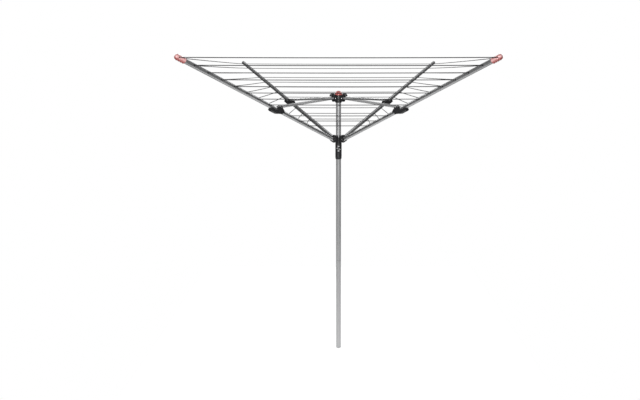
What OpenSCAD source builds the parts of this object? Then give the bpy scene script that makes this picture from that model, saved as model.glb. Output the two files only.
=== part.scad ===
// Rotary clothesline, opened: a two-part mast, four rising arms, four struts and eleven rounds of line.
// Millimetres, +Z up, origin at the middle of the mast's lower end. The arms lie on the diagonals.

/* [Mast] */
// Outside diameter of the mast tubes
mast_d = 40; // [38:0.5:42]
// Wall thickness of the mast tubes
mast_wall = 1.5; // [1.2:0.1:2]
// Height of the lower mast tube
lower_mast_h = 800; // [700:10:840]
// Length of the steel spigot that joins the two tubes
spigot_len = 220; // [160:10:300]
// Height of the upper tube's top end
upper_mast_top = 2162; // [2152:1:2164]

/* [Arms] */
// Angle of an open arm above the horizontal
arm_lift = 26; // [25:0.1:27]
// Outside diameter of an arm tube
arm_d = 30; // [28:0.5:31]
// Wall thickness of an arm tube
arm_wall = 1.2; // [1:0.1:2]
// Distance of the arm pivots from the mast's axis
arm_pivot_r = 60; // [58:1:64]
// Height of the arm pivots
arm_pivot_z = 1826.5; // [1820:0.5:1830]
// Length of a front arm's tube beyond its pivot
front_tube_len = 1378; // [1376:1:1390]
// Length of a back arm's tube beyond its pivot
back_tube_len = 1400; // [1390:1:1410]

/* [Struts] */
// Outside diameter of a strut
strut_d = 20; // [18:0.5:20]
// Wall thickness of a strut
strut_wall = 1.2; // [1:0.1:2]
// Distance of the strut pivots on the crown from the mast's axis
crown_pivot_r = 50; // [49:0.5:51]
// Height of the strut pivots on the crown
crown_pivot_z = 2147; // [2145:0.5:2148]
// Place of the strut bracket along the arm
bracket_s = 586; // [580:1:592]
// Height of the strut's pivot over the arm's axis
bracket_lift = 28; // [28:0.5:30]

/* [Lines] */
// Diameter of the line
line_d = 4.5; // [3:0.5:4.5]
// Place of the outermost line hole along the arm
outer_hole_s = 1370; // [1368:1:1371]
// Distance between line holes along the arm
hole_pitch = 97.5; // [97:0.5:98]

/* [Hidden] */
$fn = 48;
CORNERS = ["front_left", "front_right", "back_right", "back_left"];
SIDES = ["front", "right", "back", "left"];
ARM_PIECES = [
    "arm_tube", "arm_heel", "arm_end", "line_bushes", "bracket_saddle", "bracket_yoke", "bracket_pin"
];

grey_metal = "#8d8f91";
dark_metal = "#6b6d70";
black_plastic = "#1d1d1f";
red_plastic = "#c8474a";
line_grey = "#77797b";

// A gap that keeps two bodies apart, and the play of a pin in its bore.
gap = 0.35;
play = 0.05;
eps = 1;

mast_r = mast_d / 2;
mast_in_r = mast_r - mast_wall;
washer_h = 2.7;
upper_mast_z = lower_mast_h + 3;
washer_r = mast_r - 0.6;
rivet_r = 2.4;
rivet_z = lower_mast_h - 40;
rivet_sink = 0.3;

arm_r = arm_d / 2;
arm_in_r = arm_r - arm_wall;
arm_tail = 6;
strut_r = strut_d / 2;
strut_in_r = strut_r - strut_wall;
strut_tail = 6;
pin_r = 4;
pin_head_r = 6.5;
pin_head_h = 2.5;
cheek = 5;

// The bracket's pivot in the radial plane of its arm, and the strut that reaches it from the crown.
bracket_pivot_r = arm_pivot_r + bracket_s * cos(arm_lift) - bracket_lift * sin(arm_lift);
bracket_pivot_z = arm_pivot_z + bracket_s * sin(arm_lift) + bracket_lift * cos(arm_lift);
strut_run = bracket_pivot_r - crown_pivot_r;
strut_rise = bracket_pivot_z - crown_pivot_z;
strut_len = sqrt(strut_run * strut_run + strut_rise * strut_rise);
strut_tilt = atan2(strut_rise, strut_run);

// Eleven holes: one place, where the bracket sits, has none.
hole_steps = [0, 1, 2, 3, 4, 5, 6, 7, 9, 10, 11];
holes = [for (k = hole_steps) outer_hole_s - k * hole_pitch];
bush_r = 3.6;
bush_bore_r = 2.6;
flange_r = 5.2;
flange_h = 1.5;
line_r = line_d / 2;
bend_off = arm_r + flange_h + 2.6;
bend_r = line_r + 0.2;
cap_r = 17;
cap_in = front_tube_len - 52;
cap_nose = front_tube_len + 2;
cap_nose_len = 12;
cap_keel_h = 18.5;
notch_r = 3.4;
notch_pitch = 14;

saddle_wall = 4;
saddle_r = 33;
saddle_in = bracket_s - 28;
saddle_out = bracket_s + 73;
yoke_in = bracket_s - 40;
yoke_out = bracket_s + 26;
yoke_z = -5;
yoke_eye_r = 9;
strap_h = 2.4;

crown_z = crown_pivot_z - 36;
crown_top = crown_pivot_z + 23;
crown_web_z = crown_pivot_z + strut_r + 2.3;
crown_half = strut_r + 0.4;
crown_ring_r = 24.5;
crown_drum_r = 30;
crown_drum_z = crown_z + 11;
wing_half_w = 11;
screw_r = 2.2;
screw_head_r = 4.2;
screw_z = crown_z + 6;
dome_r = 29;
dome_wall = 3;
dome_skirt_h = 4;

hub_z = 1789;
hub_top = 1855;
hub_half = arm_r + 0.4;
hub_drum_r = 30;
hub_drum_top = hub_top - 15;
runner_bore_r = mast_r + gap;
sleeve_z = 1661;
sleeve_r = 25.4;

lever_y = -26;
lever_z = 1750;
lever_half_w = 11.2;
lever_half_h = 27;
lever_in_r = 27.5;
lever_out_r = 32.5;
lever_pin_r = 1.5;
window_half_w = 11.7;
window_half_h = 28;
lever_case_half_w = 15.5;
lever_case_half_h = 34;
pad_half_w = 8;
pad_r = 23;
spring_wall_r = 22.4;
spring_z = lever_z + 16;

// Turns to a corner's azimuth: the first corner is front left.
module at_corner(i) rotate(225 + 90 * i) children();

// An arm's own frame: X along the arm from its pivot, Y across it, Z over it.
module at_arm(i) at_corner(i)
    translate([arm_pivot_r, 0, arm_pivot_z]) rotate([0, -arm_lift, 0]) children();

// A strut's own frame: X along the strut from its pivot on the crown.
module at_strut(i) at_corner(i)
    translate([crown_pivot_r, 0, crown_pivot_z]) rotate([0, -strut_tilt, 0]) children();

// A rod along X or along Y, and a shape drawn in the radial plane with a thickness across it.
module x_rod(r, x0, x1) translate([x0, 0, 0]) rotate([0, 90, 0]) cylinder(r = r, h = x1 - x0);
module y_rod(r, y0, y1) translate([0, y1, 0]) rotate([90, 0, 0]) cylinder(r = r, h = y1 - y0);
module across(y0, y1) translate([0, y1, 0]) rotate([90, 0, 0]) linear_extrude(y1 - y0) children();

module tube_z(r_out, r_in, z0, z1) translate([0, 0, z0]) difference() {
    cylinder(r = r_out, h = z1 - z0);
    translate([0, 0, -eps]) cylinder(r = r_in, h = z1 - z0 + 2 * eps);
}

// A pin across a clevis, with a head at each end.
module headed_pin(half_len) union() {
    y_rod(pin_r, -half_len - pin_head_h, half_len + pin_head_h);
    for (s = [0, 180]) rotate(s) y_rod(pin_head_r, half_len, half_len + pin_head_h);
}

// ---- Mast ----

module lower_mast_tube() color(grey_metal) difference() {
    tube_z(mast_r, mast_in_r, 0, lower_mast_h);
    translate([0, 0, rivet_z]) x_rod(rivet_r, -mast_r - eps, mast_r + eps);
}

module foot_plug() color(black_plastic) difference() {
    cylinder(r = mast_in_r, h = 16);
    translate([0, 0, 4]) cylinder(r = mast_in_r - 2.5, h = 16);
}

module mast_spigot() color(dark_metal) difference() {
    tube_z(mast_in_r - play, mast_in_r - 2, lower_mast_h - spigot_len / 2, lower_mast_h + spigot_len / 2);
    translate([0, 0, rivet_z]) x_rod(rivet_r, -mast_r, mast_r);
}

// Flush rivets, so that the lower tube still slides into a ground socket.
module spigot_rivets() color(grey_metal) for (s = [0, 180]) rotate(s) translate([0, 0, rivet_z])
    x_rod(rivet_r, mast_in_r - 3, mast_r - rivet_sink);

module thrust_washer() color(black_plastic)
    tube_z(washer_r, mast_in_r, lower_mast_h, lower_mast_h + washer_h);

module upper_mast_tube() color(grey_metal) difference() {
    tube_z(mast_r, mast_in_r, upper_mast_z, upper_mast_top);
    translate([0, 0, screw_z]) y_rod(screw_r, 0, mast_r + eps);
}

// ---- Crown: carries the struts ----

// One cheek of a strut clevis, in the radial plane.
module crown_cheek_shape() union() {
    translate([crown_pivot_r, crown_pivot_z]) circle(13);
    translate([crown_pivot_r - 4, crown_pivot_z - 14]) circle(14);
    translate([25, crown_z + 8]) square([crown_pivot_r - 29, 20]);
    translate([25, crown_pivot_z - 14]) square([crown_pivot_r - 15, 14]);
    translate([25, crown_pivot_z - 10]) square([crown_pivot_r - 12, crown_web_z - crown_pivot_z + 12]);
}

// The wing over a strut: a stop for the open strut, drooping at its tip.
module crown_wing_shape() union() {
    polygon([
        [15, crown_web_z], [60, crown_web_z], [68, crown_top - 7], [78, crown_top - 6], [84, crown_top - 8],
        [84, crown_top + 4], [72, crown_top + 9.5], [60, crown_top + 7],
        [dome_r + 1, crown_top], [15, crown_top]
    ]);
    translate([82, crown_top - 2]) circle(6);
}

module crown_clevis() {
    for (s = [-1, 1]) translate([0, s * (crown_half + cheek / 2), 0])
        across(-cheek / 2, cheek / 2) crown_cheek_shape();
    across(-wing_half_w, wing_half_w) crown_wing_shape();
    across(-crown_half - cheek, crown_half + cheek) polygon([
        [15, crown_web_z], [60, crown_web_z], [60, crown_top - 2], [50, crown_top], [15, crown_top]
    ]);
}

module crown() color(black_plastic) difference() {
    union() {
        translate([0, 0, crown_z]) cylinder(r = crown_ring_r, h = 20);
        translate([0, 0, crown_drum_z]) cylinder(r = crown_drum_r, h = crown_top - crown_drum_z);
        for (i = [0:3]) at_corner(i) crown_clevis();
    }
    translate([0, 0, crown_z - eps]) cylinder(r = mast_r, h = upper_mast_top - crown_z + eps);
    for (i = [0:3]) at_corner(i) translate([crown_pivot_r, 0, crown_pivot_z]) y_rod(pin_r, -40, 40);
    translate([0, 0, screw_z]) y_rod(screw_r, 0, 40);
}

// A half ball of the given radius on a short skirt.
module dome(r) union() {
    cylinder(r = r, h = dome_skirt_h + eps);
    translate([0, 0, dome_skirt_h]) intersection() {
        sphere(r);
        cylinder(r = r + eps, h = r + eps);
    }
}

module crown_cap() color(red_plastic) translate([0, 0, crown_top]) difference() {
    dome(dome_r);
    dome(dome_r - dome_wall);
    translate([0, 0, -eps]) cylinder(r = dome_r - dome_wall, h = 2 * eps);
}

module crown_pins() color(dark_metal) for (i = [0:3]) at_corner(i)
    translate([crown_pivot_r, 0, crown_pivot_z]) headed_pin(crown_half + cheek);

module crown_screw() color(dark_metal) translate([0, 0, screw_z]) union() {
    y_rod(screw_r, mast_in_r - 4, crown_ring_r + 0.5);
    y_rod(screw_head_r, crown_ring_r + 0.1, crown_ring_r + 2.7);
}

// ---- Runner: slides on the upper tube and carries the arms ----

// One cheek of an arm clevis, in the radial plane.
module hub_cheek_shape() union() {
    translate([arm_pivot_r, arm_pivot_z]) circle(17);
    translate([25, arm_pivot_z - 17]) square([arm_pivot_r - 25, 34]);
    polygon([[25, hub_top], [38, hub_top], [54, hub_top - 9], [66, arm_pivot_z + 15], [25, arm_pivot_z]]);
    polygon([[25, hub_z + 5], [36, hub_z + 5], [52, hub_z + 12], [66, arm_pivot_z - 15], [25, arm_pivot_z]]);
}

module runner_hub() color(black_plastic) difference() {
    union() {
        translate([0, 0, hub_z]) cylinder(r = sleeve_r, h = 12);
        translate([0, 0, hub_z + 8]) cylinder(r = hub_drum_r, h = hub_drum_top - hub_z - 8);
        for (i = [0:3], s = [-1, 1]) at_corner(i)
            translate([0, s * (hub_half + cheek / 2), 0]) across(-cheek / 2, cheek / 2) hub_cheek_shape();
    }
    translate([0, 0, hub_z - eps]) cylinder(r = runner_bore_r, h = hub_top - hub_z + 2 * eps);
    for (i = [0:3]) at_corner(i) translate([arm_pivot_r, 0, arm_pivot_z]) y_rod(pin_r, -40, 40);
}

// The pivot between arm and runner is left open: a stub stands in each cheek, clear of the arm between them.
module runner_pins() color(dark_metal) for (i = [0:3], s = [0, 180]) at_corner(i)
    translate([arm_pivot_r, 0, arm_pivot_z]) rotate(s) union() {
        y_rod(pin_r, hub_half, hub_half + cheek + pin_head_h);
        y_rod(pin_head_r, hub_half + cheek, hub_half + cheek + pin_head_h);
    }

// The raised case round the release lever, rounded at the front.
module lever_case() intersection() {
    translate([-lever_case_half_w, -35, lever_z - lever_case_half_h])
        cube([2 * lever_case_half_w, 20, 2 * lever_case_half_h]);
    translate([0, 0, lever_z - lever_case_half_h]) cylinder(r = 31, h = 2 * lever_case_half_h);
}

module runner_sleeve() color(black_plastic) difference() {
    union() {
        rotate_extrude() polygon([
            [mast_r - 2, sleeve_z], [22.6, sleeve_z], [24.4, sleeve_z + 5], [25.1, sleeve_z + 14],
            [sleeve_r, sleeve_z + 30], [sleeve_r, hub_z], [mast_r - 2, hub_z]
        ]);
        lever_case();
    }
    translate([0, 0, sleeve_z - eps]) cylinder(r = runner_bore_r, h = hub_z - sleeve_z + 2 * eps);
    translate([-window_half_w, -40, lever_z - window_half_h])
        cube([2 * window_half_w, 40, window_half_h - 6]);
    difference() {
        translate([-window_half_w, -40, lever_z - window_half_h])
            cube([2 * window_half_w, 40, 2 * window_half_h]);
        translate([0, 0, lever_z - 40]) cylinder(r = spring_wall_r, h = 80);
    }
    translate([0, lever_y, lever_z]) x_rod(lever_pin_r, -20, 20);
}

module lever_pin() color(dark_metal) translate([0, lever_y, lever_z])
    x_rod(lever_pin_r, -lever_case_half_w + 0.5, lever_case_half_w - 0.5);

// The coil behind the lever's upper end, drawn as a ridged sleeve of its wire's turns.
module lever_spring() color(dark_metal) translate([0, -spring_wall_r - 0.2, spring_z]) rotate([90, 0, 0])
    rotate_extrude() polygon(concat(
        [for (k = [0:8]) [k % 2 == 0 ? 3.4 : 4.1, k * 0.55]],
        [for (k = [8:-1:0]) [k % 2 == 0 ? 2.5 : 3.2, k * 0.55]]
    ));

module release_lever() color(black_plastic) difference() {
    union() {
        intersection() {
            translate([-lever_half_w, -35, lever_z - lever_half_h])
                cube([2 * lever_half_w, 20, 2 * lever_half_h]);
            tube_z(lever_out_r, lever_in_r, lever_z - lever_half_h, lever_z + lever_half_h);
        }
        translate([0, lever_y, lever_z]) x_rod(3.2, -lever_half_w, lever_half_w);
        intersection() {
            translate([-pad_half_w, -30, lever_z - lever_half_h + 1]) cube([2 * pad_half_w, 20, 18]);
            tube_z(lever_in_r + 1, pad_r, lever_z - lever_half_h, lever_z);
        }
    }
    translate([0, lever_y, lever_z]) x_rod(lever_pin_r + play, -20, 20);
}

module brake_pad() color(dark_metal) intersection() {
    translate([-pad_half_w, -30, lever_z - lever_half_h + 2]) cube([2 * pad_half_w, 20, 16]);
    tube_z(pad_r, runner_bore_r, lever_z - lever_half_h, lever_z);
}

// ---- Struts ----

module strut(i) color(grey_metal) at_strut(i) difference() {
    x_rod(strut_r, -strut_tail, strut_len + strut_tail);
    x_rod(strut_in_r, -strut_tail - eps, strut_len + strut_tail + eps);
    for (x = [0, strut_len]) translate([x, 0, 0]) y_rod(pin_r + play, -strut_d, strut_d);
}

// ---- Arms ----

function tube_len(i) = i < 2 ? front_tube_len : back_tube_len;

module arm_tube(i) color(grey_metal) at_arm(i) difference() {
    x_rod(arm_r, -arm_tail, tube_len(i));
    x_rod(arm_in_r, -arm_tail - eps, tube_len(i) + eps);
    y_rod(pin_r + 0.1, -arm_d, arm_d);
    for (s = holes) translate([s, 0, 0]) y_rod(bush_r + play, -arm_d, arm_d);
}

// The plug in an arm's inner end, which takes the pivot.
module arm_heel(i) color(black_plastic) at_arm(i) difference() {
    union() {
        x_rod(arm_in_r, -arm_tail - 1, 22);
        x_rod(arm_r - 0.4, -arm_tail - 3, -arm_tail);
    }
    y_rod(pin_r + 0.1, -arm_d, arm_d);
}

// A front arm ends in a rounded cap with a notched keel under it. The outermost line goes through the cap.
module front_cap() difference() {
    union() {
        rotate([0, 90, 0]) rotate_extrude() polygon(concat(
            [[0, cap_in], [cap_r - 0.8, cap_in], [cap_r, cap_in + 1]],
            [for (a = [0:15:75]) [cap_r * cos(a), cap_nose + cap_nose_len * sin(a)]],
            [[0, cap_nose + cap_nose_len]]
        ));
        translate([cap_in + 3, -7, -cap_keel_h]) cube([48, 14, 8]);
    }
    x_rod(arm_r, cap_in - eps, front_tube_len);
    translate([outer_hole_s, 0, 0]) y_rod(bush_r + play, -arm_d, arm_d);
    for (k = [0:2]) translate([cap_in + 12 + notch_pitch * k, 0, -cap_keel_h - 0.5]) y_rod(notch_r, -10, 10);
}

// A back arm ends in a flush plug.
module back_plug() union() {
    x_rod(arm_in_r, back_tube_len - 10, back_tube_len + 1);
    x_rod(arm_r, back_tube_len, back_tube_len + 3);
}

module arm_end(i) color(i < 2 ? red_plastic : black_plastic) at_arm(i) {
    if (i < 2) front_cap();
    else back_plug();
}

// A bush through a round wall of the given radius, with a rim at each end.
module line_bush(wall_r, rim_r) difference() {
    union() {
        y_rod(bush_r, -wall_r - 0.4, wall_r + 0.4);
        difference() {
            y_rod(rim_r, -wall_r - flange_h, wall_r + flange_h);
            x_rod(wall_r, -10, 10);
        }
    }
    y_rod(bush_bore_r, -arm_d, arm_d);
}

// The bush in a front arm's cap has no flange and ends just under the cap's surface.
module line_bushes(i) color(black_plastic) at_arm(i) for (s = holes) translate([s, 0, 0])
    if (i < 2 && s > cap_in) line_bush(cap_r - flange_h - 0.4, bush_r);
    else line_bush(arm_r, flange_r);

// ---- Strut bracket on the arm ----

// The keel under the arm, deepest at its outer end.
module saddle_keel_shape() polygon([
    [saddle_in, 0], [saddle_in, -15.5], [bracket_s - 14, -17], [bracket_s - 2, -22], [bracket_s + 16, -31],
    [bracket_s + 40, -33], [saddle_out - 6, -32], [saddle_out, -27], [saddle_out, 0]
]);

// Everything that the arm and the yoke leave of the keel's block.
module bracket_saddle(i) color(black_plastic) at_arm(i) difference() {
    intersection() {
        across(-arm_r - saddle_wall, arm_r + saddle_wall) saddle_keel_shape();
        x_rod(saddle_r, saddle_in - eps, saddle_out + eps);
    }
    x_rod(arm_r, saddle_in - eps, saddle_out + eps);
    translate([saddle_in - eps, -2 * arm_r, yoke_z])
        cube([saddle_out - saddle_in + 2 * eps, 4 * arm_r, 2 * arm_r]);
}

// One of the two ears for the strut, rounded over its pivot.
module yoke_ear_shape() union() {
    translate([bracket_s, bracket_lift]) circle(yoke_eye_r);
    polygon([
        [yoke_in, yoke_z], [yoke_out, yoke_z], [yoke_out, 17], [bracket_s + 15, 24],
        [bracket_s + yoke_eye_r - 1, bracket_lift], [bracket_s - yoke_eye_r + 1, bracket_lift],
        [bracket_s - 20, 23], [yoke_in + 5, 14], [yoke_in, 4]
    ]);
}

// The ears stand beside the arm, with a boss inside each that meets the strut and a strap over the arm.
module bracket_yoke(i) color(black_plastic) at_arm(i) difference() {
    union() {
        for (s = [-1, 1]) translate([0, s * (arm_r + saddle_wall / 2), 0])
            across(-saddle_wall / 2, saddle_wall / 2) yoke_ear_shape();
        for (s = [0, 180]) translate([bracket_s, 0, bracket_lift]) rotate(s)
            y_rod(yoke_eye_r - 1.5, strut_r + 0.4, arm_r + 1);
        intersection() {
            x_rod(arm_r + strap_h, bracket_s + 15, yoke_out);
            translate([bracket_s, -arm_r - 1, yoke_z]) cube([60, 2 * arm_r + 2, 2 * arm_r]);
        }
    }
    x_rod(arm_r, yoke_in - eps, yoke_out + eps);
    translate([bracket_s, 0, bracket_lift]) y_rod(pin_r, -2 * arm_r, 2 * arm_r);
}

module bracket_pin(i) color(dark_metal) at_arm(i) translate([bracket_s, 0, bracket_lift])
    headed_pin(arm_r + saddle_wall);

// ---- Lines ----

// A round of line is four lengths. Each goes through the bush of its first arm, bends
// and runs taut and level to the next arm, where it stops just short of that arm's own length.
module line_length(s) {
    r = arm_pivot_r + s * cos(arm_lift);
    z = arm_pivot_z + s * sin(arm_lift);
    half = r * cos(45);
    off = bend_off * cos(45);
    translate([-half, -half, z]) rotate(-45) union() {
        x_rod(line_r, -arm_r - flange_h, bend_off);
        translate([bend_off, 0, 0]) sphere(bend_r);
    }
    translate([-half + off, -half - off, z]) x_rod(line_r, 0, 2 * (half - off) - line_r - 1);
}

module lines(i) color(line_grey) rotate(90 * i) for (s = holes) line_length(s, $fn = 16);

lower_mast_tube();
foot_plug();
mast_spigot();
spigot_rivets();
thrust_washer();
upper_mast_tube();
crown();
crown_cap();
crown_pins();
crown_screw();
runner_hub();
runner_sleeve();
runner_pins();
lever_pin();
lever_spring();
release_lever();
brake_pad();
for (i = [0:3]) strut(i);
for (i = [0:3]) arm_tube(i);
for (i = [0:3]) arm_heel(i);
for (i = [0:3]) arm_end(i);
for (i = [0:3]) line_bushes(i);
for (i = [0:3]) bracket_saddle(i);
for (i = [0:3]) bracket_yoke(i);
for (i = [0:3]) bracket_pin(i);
for (i = [0:3]) lines(i);
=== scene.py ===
"""The looks of an opened rotary clothesline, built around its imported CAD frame. Metres, +Z up."""

import math

import bmesh
import bpy
from mathutils import Matrix, Vector


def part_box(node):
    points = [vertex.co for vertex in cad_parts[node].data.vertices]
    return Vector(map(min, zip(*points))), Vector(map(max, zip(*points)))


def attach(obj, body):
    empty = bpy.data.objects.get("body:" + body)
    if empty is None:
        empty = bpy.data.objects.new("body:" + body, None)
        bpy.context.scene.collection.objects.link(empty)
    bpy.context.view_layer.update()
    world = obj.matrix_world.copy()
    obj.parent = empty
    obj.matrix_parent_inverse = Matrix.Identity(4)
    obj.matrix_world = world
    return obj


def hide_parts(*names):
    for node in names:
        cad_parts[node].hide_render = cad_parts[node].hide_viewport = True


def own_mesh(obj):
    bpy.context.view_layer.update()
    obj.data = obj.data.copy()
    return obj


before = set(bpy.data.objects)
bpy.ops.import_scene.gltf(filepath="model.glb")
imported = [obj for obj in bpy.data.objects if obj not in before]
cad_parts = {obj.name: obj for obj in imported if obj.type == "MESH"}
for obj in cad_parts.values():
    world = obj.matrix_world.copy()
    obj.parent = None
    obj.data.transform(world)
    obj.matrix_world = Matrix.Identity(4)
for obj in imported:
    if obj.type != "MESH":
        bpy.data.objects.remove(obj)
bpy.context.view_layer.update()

# ---- The frame's own places ----
CORNERS = ["front_left", "front_right", "back_right", "back_left"]
SIDES = ["front", "right", "back", "left"]
FRONT_CORNERS = CORNERS[:2]
FIRST_AZIMUTH = math.radians(225)
QUARTER = math.radians(90)
UPRIGHT = (0, QUARTER, 0)
ARM_LIFT = math.radians(26.0)
FOLDED_LIFT = math.radians(87)
ARM_PIVOT_R = 0.060
ARM_PIVOT_Z = 1.8265
ARM_R = 0.015
BRACKET_S = 0.586
BRACKET_LIFT = 0.028
CROWN_PIVOT_R = 0.050
CROWN_PIVOT_Z = 2.147
CROWN_TOP = 2.170
STRUT_TILT = math.radians(-4.193)
LEVER_Z = 1.750
LEVER_FACE_R = 0.0325
HUB_DRUM_R = 0.030
HUB_DRUM_TOP = 1.840
RUNNER_BOTTOM = 1.661
CAP_R = 0.017
CAP_IN = 1.326

# ---- Lines ----
LINE_R = 0.0026
LINE_BEND = 0.0191
LINE_LEADS = (0, 0.6 * LINE_BEND, 0.9 * LINE_BEND)
LINE_SAG = 0.002
LINE_STEPS = 10
OUTER_HOLE = 1.370
HOLE_PITCH = 0.0975
ROUND_GROUPS = {"outer": [0, 1, 2], "mid": [3, 4, 5], "inner": [6, 7, 9], "last": [10, 11]}

# ---- Surface details: a cheek is half a fork's width, and a bead's number is its radius ----
BAR_TIP = 0.7
BOSS_R = 0.0085
BOSS_BEAD = 0.0011
BRACKET_BOSS_R = 0.0078
BRACKET_BOSS_BEAD = 0.0009
CROWN_CHEEK = 0.0154
RUNNER_CHEEK = 0.0204
BRACKET_CHEEK = ARM_R + 0.004

# Points along a wing's edge: out from the mast's axis, and over the crown's top.
WING_EDGE = [(0.060, 0.0068), (0.0715, 0.0092), (0.0835, 0.0038)]
WING_EDGES_ACROSS = (-0.0095, 0, 0.0095)
WING_BEAD = 0.0013

HUB_RIB_AZIMUTHS = (0, 90, 180, 270)
HUB_RIB_SPREAD = 11
HUB_RIB_LOW = HUB_DRUM_TOP - 0.036
HUB_RIB_HIGH = HUB_DRUM_TOP - 0.010
HUB_RIB_BEAD = 0.0012
HUB_RINGS = [(0.0296, HUB_DRUM_TOP - 0.0013), (0.0298, HUB_DRUM_TOP - 0.0055)]
HUB_RING_BEAD = 0.0014
SLEEVE_RINGS = [(0.0252, RUNNER_BOTTOM + 0.016 + 0.006 * k) for k in range(3)]
SLEEVE_RING_BEAD = 0.0009

LEVER_RIM_X = 0.0098
LEVER_RIM_HALF = 0.024
LEVER_RIM_BEAD = 0.0010
# Each pad, light grey as a painted highlight: its middle across and over the lever's middle, and half its
# width and height.
LEVER_PADS = [
    (0, 0.018, 0.006, 0.004),
    (-0.0058, 0.001, 0.0028, 0.004),
    (0.0058, -0.005, 0.0028, 0.004),
    (0, -0.018, 0.006, 0.004),
]
PAD_STEPS = 7
PAD_BEAD = 0.0015
PAD_VOXEL = 0.0004

SPRING_COILS = 4.5
SPRING_WIRE_R = 0.0004
SPRING_STEPS = 110

KEEL_RIBS = 4
KEEL_RIB_FIRST = BRACKET_S + 0.004
KEEL_RIB_PITCH = 0.018
KEEL_RIB_LEAN = 0.003
KEEL_RIB_OUT = 0.019
KEEL_RIB_TOP = -0.007
KEEL_RIB_FOOT = -0.019
KEEL_RIB_DROP = 0.001
KEEL_RIB_BEAD = 0.0011

CAP_COLLARS = (CAP_IN + 0.002, CAP_IN + 0.0055)
CAP_COLLAR_R = CAP_R - 0.0001
CAP_COLLAR_BEAD = 0.0009
EYELET_STEPS = 36
EYELET_ALONG = 0.0075
EYELET_OVER = 0.0115
EYELET_BEAD = 0.0015
CAP_RIB_FROM = CAP_IN + 0.012
CAP_RIB_STEP = 0.002
CAP_RIB_POINTS = 12
CAP_RIB_OVER = 0.010
CAP_RIB_BEAD = 0.0011

# ---- Materials ----
STREAK_STRETCH = 45
MAST_GREY = (0.46, 0.463, 0.467)
ARM_GREY = (0.42, 0.423, 0.427)
# The struts take a lighter copy of the tubes' grey: painted light for the light their tops catch.
STRUT_PAINTED_LIGHT_GREY = (0.60, 0.603, 0.607)
ZINC = ((0.40, 0.40, 0.41), (0.62, 0.62, 0.60))
BLACK = (0.022, 0.022, 0.024)
SHEATH_BLACK = ((0.016, 0.017, 0.018), (0.028, 0.029, 0.031))
RUBBER_BLACK = ((0.018, 0.018, 0.018), (0.04, 0.04, 0.04))
# Light grey of the lever's pads: painted highlights on the gloss black lever.
LEVER_PAD_HIGHLIGHT_GREY = (0.50, 0.50, 0.505)
WASHER_GREY = (0.26, 0.26, 0.265)
DOME_RED = (0.60, 0.14, 0.125)
CAP_RED = (0.36, 0.06, 0.055)
# Painted highlight: the pale colour along the middle of a front cap's sides.
CAP_PAINTED_HIGHLIGHT = (0.88, 0.50, 0.49)
# How far from a cap's middle its painted highlight starts to redden, and where it is red.
CAP_PAINTED_HIGHLIGHT_TO = 0.003
CAP_RED_FROM = 0.0125
WHITE = (1, 1, 1, 1)
FLOOR_GREY = ((0.28, 0.28, 0.28), (0.32, 0.32, 0.32))

# ---- Camera ----
CAMERA_DISTANCE = 3.488
CAMERA_HEIGHT = 2.340
CAMERA_PITCH = math.radians(10)
CAMERA_LENS = 24.908
CAMERA_SENSOR = 36
CAMERA_SHIFT = (-0.0289, -0.0765)

# ---- Stage ----
FLOOR_SIZE = 3.2
FLOOR_GLOW = 0.93
WORLD_FELT = 0.12
# Each light: its name, place, aim, size in metres and power in watts.
LIGHTS = [
    ("key", (-0.4, -4.6, 2.6), (0, 0, 1.6), 1.4, 150),
    ("overhead", (0.5, 0.5, 6.0), (0, 0, 0), 3.0, 40),
    ("rim_left", (-2.0, 2.6, 3.6), (0, 0, 1.9), 2.4, 60),
    ("rim_right", (2.0, 2.6, 3.6), (0, 0, 1.9), 2.4, 60),
]


def make_camera():
    camera = bpy.data.objects.new("camera", bpy.data.cameras.new("camera"))
    bpy.context.scene.collection.objects.link(camera)
    camera.data.lens = CAMERA_LENS
    camera.data.sensor_width = CAMERA_SENSOR
    camera.data.shift_x, camera.data.shift_y = CAMERA_SHIFT
    camera.location = (0, -CAMERA_DISTANCE, CAMERA_HEIGHT)
    camera.rotation_euler = (QUARTER - CAMERA_PITCH, 0, 0)
    bpy.context.scene.camera = camera


# ---- Placing ----
def corner_matrix(index):
    """Radial X, tangential Y at a corner."""
    return Matrix.Rotation(FIRST_AZIMUTH + index * QUARTER, 4, "Z")


def arm_pivot(index):
    return corner_matrix(index) @ Matrix.Translation((ARM_PIVOT_R, 0, ARM_PIVOT_Z))


def crown_pivot(index):
    return corner_matrix(index) @ Matrix.Translation((CROWN_PIVOT_R, 0, CROWN_PIVOT_Z))


def arm_matrix(index):
    """X along the arm from its pivot, Y across it, Z over it."""
    return arm_pivot(index) @ Matrix.Rotation(-ARM_LIFT, 4, "Y")


def strut_matrix(index):
    """X along the strut from its pivot on the crown."""
    return crown_pivot(index) @ Matrix.Rotation(-STRUT_TILT, 4, "Y")


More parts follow.
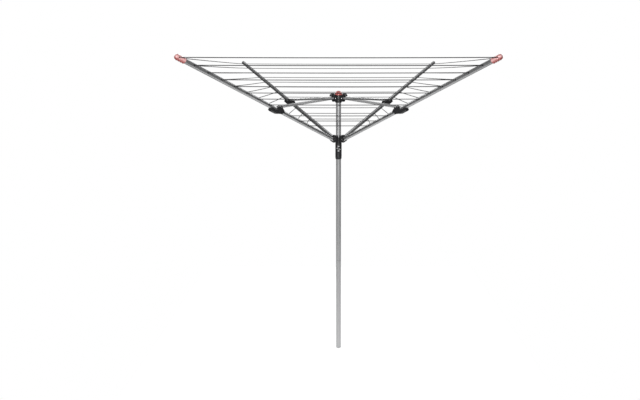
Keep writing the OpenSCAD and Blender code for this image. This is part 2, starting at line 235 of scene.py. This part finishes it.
# ---- Looks ----
class Look:
    """A Principled material whose colour, roughness and bump come from noise in the piece's own space."""

    NOISE_LOW = 0.3
    NOISE_HIGH = 0.7

    def __init__(self, name, metallic=0.0, spot=(0, 0, 0), rotation=(0, 0, 0), stretch=1.0):
        self.material = bpy.data.materials.new(name)
        self.material.use_nodes = True
        self.tree = self.material.node_tree
        self.shader = self.tree.nodes["Principled BSDF"]
        self.shader.inputs["Metallic"].default_value = metallic
        coordinates = self.node("ShaderNodeTexCoord")
        self.place = self.node("ShaderNodeMapping", vector_type="TEXTURE")
        self.place.inputs["Location"].default_value = spot
        self.place.inputs["Rotation"].default_value = rotation
        self.place.inputs["Scale"].default_value = (stretch, 1, 1)
        self.link(coordinates.outputs["Object"], self.place.inputs["Vector"])

    def node(self, kind, **settings):
        made = self.tree.nodes.new(kind)
        for key, value in settings.items():
            setattr(made, key, value)
        return made

    def link(self, start, end):
        self.tree.links.new(start, end)

    def noise(self, scale, detail):
        """Noise with so many blotches to the metre, as a number from 0 to 1."""
        made = self.node("ShaderNodeTexNoise")
        made.inputs["Scale"].default_value = scale
        made.inputs["Detail"].default_value = detail
        self.link(self.place.outputs["Vector"], made.inputs["Vector"])
        return made.outputs["Fac"]

    def ramp(self, value, low, high, start=NOISE_LOW, end=NOISE_HIGH):
        """Colours from low to high as value goes from start to end."""
        made = self.node("ShaderNodeValToRGB")
        made.color_ramp.elements[0].position = start
        made.color_ramp.elements[1].position = end
        made.color_ramp.elements[0].color = (*low, 1)
        made.color_ramp.elements[1].color = (*high, 1)
        self.link(value, made.inputs["Fac"])
        return made.outputs["Color"]

    def colour(self, value, low, high):
        self.link(self.ramp(value, low, high), self.shader.inputs["Base Color"])

    def roughness(self, value, low, high):
        made = self.node("ShaderNodeMapRange")
        made.inputs["From Min"].default_value = self.NOISE_LOW
        made.inputs["From Max"].default_value = self.NOISE_HIGH
        made.inputs["To Min"].default_value = low
        made.inputs["To Max"].default_value = high
        self.link(value, made.inputs["Value"])
        self.link(made.outputs["Result"], self.shader.inputs["Roughness"])

    def bump(self, value, depth):
        made = self.node("ShaderNodeBump")
        made.inputs["Distance"].default_value = depth
        self.link(value, made.inputs["Height"])
        self.link(made.outputs["Normal"], self.shader.inputs["Normal"])


def shade(colour, amount):
    return tuple(channel * amount for channel in colour)


def tube_metal(name, colour, rotation, metallic=0.85, edge=0.5, rough=0.36):
    """Drawn, lacquered tube: fine streaks along it under a soft sheen, darker where it curves away."""
    look = Look(name, metallic=metallic, rotation=rotation, stretch=STREAK_STRETCH)
    look.shader.inputs["Specular Tint"].default_value = (edge, edge, edge, 1)
    streaks = look.noise(scale=420, detail=4)
    look.colour(streaks, shade(colour, 0.90), shade(colour, 1.08))
    look.roughness(look.noise(scale=160, detail=2), rough - 0.05, rough + 0.06)
    look.bump(streaks, depth=0.00006)
    return look.material


def moulded_plastic(name, colour, rough=0.42, grain=0.00012):
    """Injection-moulded plastic with a fine spark-eroded grain."""
    look = Look(name)
    look.colour(look.noise(scale=38, detail=2), shade(colour, 0.82), shade(colour, 1.18))
    look.roughness(look.noise(scale=300, detail=3), rough - 0.07, rough + 0.08)
    look.bump(look.noise(scale=1400, detail=3), depth=grain)
    return look.material


def cap_plastic_painted_highlight(name, arm):
    """Glossy red plastic with a painted highlight: pale along the middle of the cap's sides, red at its
    top and its keel.
    """
    look = Look(name, spot=arm.translation, rotation=arm.to_euler())
    split = look.node("ShaderNodeSeparateXYZ")
    look.link(look.place.outputs["Vector"], split.inputs["Vector"])
    height = look.node("ShaderNodeMath", operation="ABSOLUTE")
    look.link(split.outputs["Z"], height.inputs[0])
    # Painted highlight: pale in the cap's middle, turning red towards its top and keel.
    highlight_to_red = look.ramp(height.outputs["Value"], CAP_PAINTED_HIGHLIGHT, CAP_RED, CAP_PAINTED_HIGHLIGHT_TO, CAP_RED_FROM)
    look.link(highlight_to_red, look.shader.inputs["Base Color"])
    look.shader.inputs["Coat Weight"].default_value = 1.0
    look.shader.inputs["Coat Roughness"].default_value = 0.16
    look.roughness(look.noise(scale=300, detail=3), 0.23, 0.38)
    look.bump(look.noise(scale=1400, detail=3), depth=0.00005)
    return look.material


def plated_steel(name):
    """Zinc-plated pin and screw metal with a faint mottle."""
    look = Look(name, metallic=1.0)
    look.colour(look.noise(scale=260, detail=4), *ZINC)
    look.roughness(look.noise(scale=500, detail=3), 0.24, 0.40)
    look.bump(look.noise(scale=1800, detail=2), depth=0.00005)
    return look.material


def line_sheath(name):
    """Smooth plastic sheath that shows the cord's lay faintly."""
    look = Look(name)
    look.colour(look.noise(scale=90, detail=3), *SHEATH_BLACK)
    look.shader.inputs["Specular IOR Level"].default_value = 0.25
    look.roughness(look.noise(scale=240, detail=2), 0.38, 0.52)
    look.bump(look.noise(scale=900, detail=3), depth=0.0001)
    return look.material


def brake_rubber(name):
    """Matt black rubber with a rough skin."""
    look = Look(name)
    look.colour(look.noise(scale=200, detail=4), *RUBBER_BLACK)
    look.roughness(look.noise(scale=600, detail=3), 0.7, 0.88)
    look.bump(look.noise(scale=2200, detail=4), depth=0.0002)
    return look.material


def paint(piece, material):
    piece.data.materials.clear()
    piece.data.materials.append(material)


def paint_node(node, material):
    """A CAD node keeps its mesh and takes a new material on its object's slots."""
    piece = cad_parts[node]
    for held in piece.material_slots:
        held.link = "OBJECT"
        held.material = material


# ---- Mesh making ----
def add_sweep(mesh, points, radius, sides=10, closed=False):
    """A round tube along points, with flat ends or closed on itself."""
    count = len(points)
    rings = []
    side = None
    for i, point in enumerate(points):
        before = points[i - 1] if closed or i else point
        after = points[(i + 1) % count] if closed or i < count - 1 else point
        along = (after - before).normalized()
        if side is None:
            side = along.orthogonal().normalized()
        side = (side - along * side.dot(along)).normalized()
        up = along.cross(side)
        ring = []
        for k in range(sides):
            turn = 2 * math.pi * k / sides
            ring.append(mesh.verts.new(point + radius * (math.cos(turn) * side + math.sin(turn) * up)))
        rings.append(ring)
    pairs = list(zip(rings, rings[1:]))
    if closed:
        pairs.append((rings[-1], rings[0]))
    for first, second in pairs:
        for k in range(sides):
            beside = (k + 1) % sides
            mesh.faces.new((first[k], first[beside], second[beside], second[k]))
    if not closed:
        mesh.faces.new(reversed(rings[0]))
        mesh.faces.new(rings[-1])


def add_ring(mesh, matrix, ring_r, bead_r, steps):
    """A round bead along a circle about the matrix's Z axis."""
    points = []
    for k in range(steps):
        turn = 2 * math.pi * k / steps
        points.append(matrix @ Vector((ring_r * math.cos(turn), ring_r * math.sin(turn), 0)))
    add_sweep(mesh, points, bead_r, sides=8, closed=True)


def add_bar(mesh, start, end, radius):
    """A straight bead whose ends step down."""
    along = (end - start).normalized()
    tip = along * radius * BAR_TIP
    add_sweep(mesh, [start, end], radius)
    for spot, out in ((start, -tip), (end, tip)):
        add_sweep(mesh, [spot, spot + out], radius * BAR_TIP)


def make_piece(name, mesh):
    bmesh.ops.recalc_face_normals(mesh, faces=mesh.faces)
    data = bpy.data.meshes.new(name)
    mesh.to_mesh(data)
    mesh.free()
    piece = bpy.data.objects.new(name, data)
    bpy.context.scene.collection.objects.link(piece)
    return piece


def settle(piece):
    """Puts the result of a piece's modifiers into its own mesh."""
    shown = piece.evaluated_get(bpy.context.evaluated_depsgraph_get())
    data = bpy.data.meshes.new_from_object(shown)
    piece.modifiers.clear()
    piece.data = data
    data.shade_smooth()


def place(piece, body, material, nodes):
    """Paints a piece, hides the CAD nodes it replaces and attaches it to the body it rides on."""
    paint(piece, material)
    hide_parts(*nodes)
    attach(piece, body)


def moulded(name, body, nodes, material, voxel, details=(), softening=4, keep=0.25):
    """CAD solids and their surface details, melted into one skin with soft edges."""
    mesh = bmesh.new()
    for node in nodes:
        mesh.from_mesh(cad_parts[node].data)
    for add in details:
        add(mesh)
    piece = make_piece(name, mesh)
    melt = piece.modifiers.new("melt", "REMESH")
    melt.mode = "VOXEL"
    melt.voxel_size = voxel * 1
    soften = piece.modifiers.new("soften", "SMOOTH")
    soften.factor = 0.5
    soften.iterations = softening
    thin = piece.modifiers.new("thin", "DECIMATE")
    thin.ratio = keep
    settle(piece)
    place(piece, body, material, nodes)


# ---- Surface details ----
def pin_bosses(pivots, cheek, ring_r=BOSS_R, bead_r=BOSS_BEAD):
    """A raised ring round each pin head; pivots are matrices whose Y runs along the pin."""
    def add(mesh):
        for pivot in pivots:
            for side in (-1, 1):
                out = Matrix.Translation((0, side * cheek, 0))
                add_ring(mesh, pivot @ out @ Matrix.Rotation(QUARTER, 4, "X"), ring_r, bead_r, steps=28)
    return add


def wing_beads(mesh):
    """Raised edges along the crown's four wings, and a rib down the middle of each."""
    for i in range(4):
        corner = corner_matrix(i)
        for across in WING_EDGES_ACROSS:
            points = [corner @ Vector((out, across, CROWN_TOP + over)) for out, over in WING_EDGE]
            for start, end in zip(points, points[1:]):
                add_bar(mesh, start, end, WING_BEAD)


def hub_ribs(mesh):
    """Upright ribs in threes on the hub's drum, between its forks."""
    for azimuth in HUB_RIB_AZIMUTHS:
        for k in (-1, 0, 1):
            turn = Matrix.Rotation(math.radians(azimuth + k * HUB_RIB_SPREAD), 4, "Z")
            low = turn @ Vector((HUB_DRUM_R, 0, HUB_RIB_LOW))
            high = turn @ Vector((HUB_DRUM_R, 0, HUB_RIB_HIGH))
            add_bar(mesh, low, high, HUB_RIB_BEAD)


def level_rings(rings, bead_r):
    """Level beads round the mast's axis; rings gives the radius and the height of each."""
    def add(mesh):
        for radius, height in rings:
            add_ring(mesh, Matrix.Translation((0, 0, height)), radius, bead_r, steps=64)
    return add


def lever_face(x, dz):
    """A point on the lever's curved outer face."""
    return Vector((x, -math.sqrt(LEVER_FACE_R ** 2 - x * x), LEVER_Z + dz))


def lever_rim(mesh):
    """A raised rim along the lever's two sides."""
    for x in (-LEVER_RIM_X, LEVER_RIM_X):
        add_bar(mesh, lever_face(x, -LEVER_RIM_HALF), lever_face(x, LEVER_RIM_HALF), LEVER_RIM_BEAD)


def lever_highlight_pads():
    """Four pads in a diamond on the lever's face, light grey as painted highlights on its gloss black,
    each from four level beads that melt together.
    """
    mesh = bmesh.new()
    for x, dz, half_w, half_h in LEVER_PADS:
        row = [lever_face(x + half_w * (2 * k / (PAD_STEPS - 1) - 1), dz) for k in range(PAD_STEPS)]
        for lift in (-half_h, -half_h / 3, half_h / 3, half_h):
            add_sweep(mesh, [spot + Vector((0, 0, lift)) for spot in row], PAD_BEAD)
    return mesh


def keel_ribs(index):
    """Stiffening ribs on both sides of a bracket's keel."""
    def add(mesh):
        arm = arm_matrix(index)
        for side in (-1, 1):
            across = side * KEEL_RIB_OUT
            for k in range(KEEL_RIBS):
                x = KEEL_RIB_FIRST + KEEL_RIB_PITCH * k
                start = arm @ Vector((x, across, KEEL_RIB_TOP))
                end = arm @ Vector((x + KEEL_RIB_LEAN, across, KEEL_RIB_FOOT - KEEL_RIB_DROP * k))
                add_bar(mesh, start, end, KEEL_RIB_BEAD)
    return add


def on_round_wall(matrix, radius, x, z, side):
    """A point on the side of a round bar that lies along the matrix's X."""
    return matrix @ Vector((x, side * math.sqrt(radius ** 2 - z * z), z))


def cap_details(index):
    """Collars of a front arm's cap, the eyelets round its line hole and a rib beside each."""
    def add(mesh):
        arm = arm_matrix(index)
        for x in CAP_COLLARS:
            collar = arm @ Matrix.Translation((x, 0, 0)) @ Matrix.Rotation(QUARTER, 4, "Y")
            add_ring(mesh, collar, CAP_COLLAR_R, CAP_COLLAR_BEAD, steps=40)
        for side in (-1, 1):
            eyelet = []
            for k in range(EYELET_STEPS):
                turn = 2 * math.pi * k / EYELET_STEPS
                x = OUTER_HOLE + EYELET_ALONG * math.cos(turn)
                eyelet.append(on_round_wall(arm, CAP_R, x, EYELET_OVER * math.sin(turn), side))
            add_sweep(mesh, eyelet, EYELET_BEAD, sides=8, closed=True)
            places = [CAP_RIB_FROM + CAP_RIB_STEP * k for k in range(CAP_RIB_POINTS)]
            rib = [on_round_wall(arm, CAP_R, x, CAP_RIB_OVER, side) for x in places]
            add_sweep(mesh, rib, CAP_RIB_BEAD, sides=8)
    return add


# ---- Pieces ----
def make_crown(black, red, steel):
    moulded(
        "crown_body", "upper_mast", ["crown"], black, voxel=0.0009,
        details=[wing_beads, pin_bosses([crown_pivot(i) for i in range(4)], CROWN_CHEEK)],
    )
    moulded("crown_dome", "upper_mast", ["crown_cap"], red, voxel=0.0007)
    moulded("crown_pin_set", "upper_mast", ["crown_pins"], steel, voxel=0.0005, keep=0.3)
    moulded("crown_set_screw", "upper_mast", ["crown_screw"], steel, voxel=0.0004, softening=3)


def make_runner(black, gloss, steel, rubber, grip):
    moulded(
        "runner_body", "runner", ["runner_hub"], black, voxel=0.0009,
        details=[
            pin_bosses([arm_pivot(i) for i in range(4)], RUNNER_CHEEK),
            hub_ribs,
            level_rings(HUB_RINGS, HUB_RING_BEAD),
        ],
    )
    moulded(
        "runner_grip_sleeve", "runner", ["runner_sleeve"], black, voxel=0.0007,
        details=[level_rings(SLEEVE_RINGS, SLEEVE_RING_BEAD)],
    )
    moulded(
        "release_lever_shell", "lever", ["release_lever"], gloss, voxel=0.0005,
        details=[lever_rim], keep=0.3,
    )
    # The pads are light grey as painted highlights.
    make_lever_highlight_pads(grip)
    moulded("brake_pad_block", "lever", ["brake_pad"], rubber, voxel=0.0004, softening=3)
    moulded("runner_pin_stubs", "runner", ["runner_pins"], steel, voxel=0.0005, keep=0.3)
    moulded("lever_hinge_pin", "runner", ["lever_pin"], steel, voxel=0.0004, softening=3)
    make_spring(steel)


def make_lever_highlight_pads(grip):
    """Light grey pads as painted highlights, which the CAD frame doesn't have: they replace no node, and
    only ride on the lever.
    """
    pads = make_piece("lever_painted_highlight_pads", lever_highlight_pads())
    melt = pads.modifiers.new("melt", "REMESH")
    melt.mode = "VOXEL"
    melt.voxel_size = PAD_VOXEL
    settle(pads)
    paint(pads, grip)
    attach(pads, "lever")


def make_spring(steel):
    """The coil behind the lever, built at one fixed length; the real one shortens as the lever is pressed.
    """
    low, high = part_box("lever_spring")
    middle = (low + high) / 2
    coil_r = (high.x - low.x) / 2 - SPRING_WIRE_R
    length = high.y - low.y - 2 * SPRING_WIRE_R
    points = []
    for k in range(SPRING_STEPS + 1):
        share = k / SPRING_STEPS
        turn = 2 * math.pi * SPRING_COILS * share
        y = low.y + SPRING_WIRE_R + length * share
        points.append(Vector((middle.x + coil_r * math.cos(turn), y, middle.z + coil_r * math.sin(turn))))
    mesh = bmesh.new()
    add_sweep(mesh, points, SPRING_WIRE_R, sides=8)
    piece = make_piece("lever_coil_spring", mesh)
    piece.data.shade_smooth()
    place(piece, "runner", steel, ["lever_spring"])
    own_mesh(piece)


def make_arm_fittings(index, black, steel):
    corner = CORNERS[index]
    body = "arm_" + corner
    arm = arm_matrix(index)
    moulded(
        "bracket_keel_" + corner, body, ["bracket_saddle_" + corner], black, voxel=0.0009,
        details=[keel_ribs(index)],
    )
    bracket_pivot = arm @ Matrix.Translation((BRACKET_S, 0, BRACKET_LIFT))
    moulded(
        "bracket_ears_" + corner, body, ["bracket_yoke_" + corner], black, voxel=0.0007,
        details=[pin_bosses([bracket_pivot], BRACKET_CHEEK, BRACKET_BOSS_R, BRACKET_BOSS_BEAD)],
    )
    moulded(
        "bracket_hinge_pin_" + corner, body, ["bracket_pin_" + corner], steel, voxel=0.0005,
        keep=0.3,
    )
    moulded("arm_root_plug_" + corner, body, ["arm_heel_" + corner], black, voxel=0.0007)
    end_node = "arm_end_" + corner
    if corner in FRONT_CORNERS:
        # The cap's material has a painted highlight along the middle of its sides.
        red = cap_plastic_painted_highlight("cap_red_painted_highlight_" + corner, arm)
        moulded(
            "arm_tip_cap_" + corner, body, [end_node], red, voxel=0.0006,
            details=[cap_details(index)], softening=3, keep=0.2,
        )
    else:
        moulded("arm_tip_plug_" + corner, body, [end_node], black, voxel=0.0006)
    moulded(
        "line_bush_set_" + corner, body, ["line_bushes_" + corner], black, voxel=0.0006,
        softening=2, keep=0.2,
    )


# ---- Lines ----
def hole_place(step):
    """How far along the arm a line hole is; step counts from the outermost hole."""
    return OUTER_HOLE - step * HOLE_PITCH


def half_line(index, way, step):
    """From inside an arm, round the bush's lip and on to the middle of the side, sagging a little.

    way is 1 towards the next corner and -1 towards the one before.
    """
    reach = hole_place(step)
    radius = ARM_PIVOT_R + reach * math.cos(ARM_LIFT)
    height = ARM_PIVOT_Z + reach * math.sin(ARM_LIFT)
    middle = (radius + LINE_BEND) / 2
    points = [(radius, lead) for lead in LINE_LEADS]
    heights = [height] * len(points)
    for k in range(1, LINE_STEPS + 1):
        share = k / LINE_STEPS
        points.append((radius + (middle - radius) * share, LINE_BEND + (middle - LINE_BEND) * share))
        heights.append(height - LINE_SAG * radius * (1 - (1 - share) ** 2))
    corner = corner_matrix(index)
    return [corner @ Vector((x, way * y, z)) for (x, y), z in zip(points, heights)]


def fold_of_half_line(index, way, step):
    """The direction across the arm in which a half line folds onto it, and the share that's left."""
    arm = arm_matrix(index)
    reach, across, over = arm.inverted() @ half_line(index, way, step)[-1]
    direction = arm.to_3x3() @ Vector((0, across, over))
    room = ARM_PIVOT_R + reach * math.cos(FOLDED_LIFT)
    keep = room / (abs(across) + over * math.sin(FOLDED_LIFT))
    return direction.normalized(), keep


def make_lines(index, way, sheath):
    """Half of each round on one side of an arm, in groups chosen to fold alike; each half line's fold is
    worked out but not used.
    """
    corner = CORNERS[index]
    side = SIDES[index if way > 0 else index - 1]
    for group, steps in ROUND_GROUPS.items():
        mesh = bmesh.new()
        for step in steps:
            add_sweep(mesh, half_line(index, way, step), LINE_R)
            fold_of_half_line(index, way, step)
        piece = make_piece(f"lines_{group}_{side}_at_{corner}", mesh)
        piece.data.shade_smooth()
        place(piece, "arm_" + corner, sheath, ["lines_" + side])
        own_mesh(piece)


# ---- Stage ----
def make_floor():
    """A plain pale floor that glows, so that it looks as white as the world around it."""
    mesh = bmesh.new()
    half = FLOOR_SIZE / 2
    corners = [(-half, -half), (half, -half), (half, half), (-half, half)]
    mesh.faces.new([mesh.verts.new((x, y, 0)) for x, y in corners])
    floor = make_piece("floor", mesh)
    look = Look("floor_paint")
    look.colour(look.noise(scale=3, detail=2), *FLOOR_GREY)
    look.roughness(look.noise(scale=8, detail=2), 0.7, 0.8)
    look.shader.inputs["Emission Color"].default_value = WHITE
    look.shader.inputs["Emission Strength"].default_value = FLOOR_GLOW
    look.shader.inputs["Specular IOR Level"].default_value = 0.1
    paint(floor, look.material)


def make_world():
    """Pale to the camera, dimmer to the object, as in a studio with dark flags round a white sweep."""
    world = bpy.data.worlds.new("studio")
    bpy.context.scene.world = world
    world.use_nodes = True
    tree = world.node_tree
    seen = tree.nodes["Background"]
    seen.inputs["Color"].default_value = WHITE
    seen.inputs["Strength"].default_value = 1.0
    felt = tree.nodes.new("ShaderNodeBackground")
    felt.inputs["Color"].default_value = WHITE
    felt.inputs["Strength"].default_value = WORLD_FELT
    rays = tree.nodes.new("ShaderNodeLightPath")
    mix = tree.nodes.new("ShaderNodeMixShader")
    tree.links.new(rays.outputs["Is Camera Ray"], mix.inputs["Fac"])
    tree.links.new(felt.outputs["Background"], mix.inputs[1])
    tree.links.new(seen.outputs["Background"], mix.inputs[2])
    tree.links.new(mix.outputs["Shader"], tree.nodes["World Output"].inputs["Surface"])


def make_light(name, spot, aim, size, power):
    light = bpy.data.objects.new(name, bpy.data.lights.new(name, "AREA"))
    bpy.context.scene.collection.objects.link(light)
    light.data.shape = "DISK"
    light.data.size = size
    light.data.energy = power
    light.location = spot
    light.rotation_euler = (Vector(aim) - Vector(spot)).to_track_quat("-Z", "Y").to_euler()


def main():
    make_camera()
    make_world()
    make_floor()
    for light in LIGHTS:
        make_light(*light)
    bpy.context.scene.view_settings.view_transform = "Standard"

    mast_metal = tube_metal("mast_metal_look", MAST_GREY, UPRIGHT, metallic=0.4, edge=0.2, rough=0.42)
    black = moulded_plastic("black_plastic_look", BLACK)
    gloss = moulded_plastic("gloss_black_look", BLACK, rough=0.24, grain=0.00004)
    dome_red = moulded_plastic("dome_red_look", DOME_RED, rough=0.3, grain=0.00005)
    # The lever pads' light grey, a painted highlight.
    grip = moulded_plastic("lever_pad_painted_highlight_look", LEVER_PAD_HIGHLIGHT_GREY, rough=0.6)
    washer = moulded_plastic("washer_grey_look", WASHER_GREY, rough=0.6)
    steel = plated_steel("steel_look")
    sheath = line_sheath("line_look")
    rubber = brake_rubber("rubber_look")

    for node in ("lower_mast_tube", "upper_mast_tube"):
        paint_node(node, mast_metal)
    for node in ("mast_spigot", "spigot_rivets"):
        paint_node(node, steel)
    moulded("foot_plug_cup", "lower_mast", ["foot_plug"], black, voxel=0.0007)
    moulded(
        "thrust_washer_ring", "lower_mast", ["thrust_washer"], washer, voxel=0.0004,
        softening=2,
    )
    make_crown(black, dome_red, steel)
    make_runner(black, gloss, steel, rubber, grip)
    for index, corner in enumerate(CORNERS):
        arm_turn = arm_matrix(index).to_euler()
        strut_turn = strut_matrix(index).to_euler()
        paint_node("arm_tube_" + corner, tube_metal("arm_metal_" + corner, ARM_GREY, arm_turn))
        # The struts' lighter grey is painted light.
        strut_painted_light_metal = tube_metal("strut_painted_light_metal_" + corner, STRUT_PAINTED_LIGHT_GREY, strut_turn, metallic=0.4, edge=0.6)
        paint_node("strut_" + corner, strut_painted_light_metal)
        make_arm_fittings(index, black, steel)
        for way in (1, -1):
            make_lines(index, way, sheath)


main()
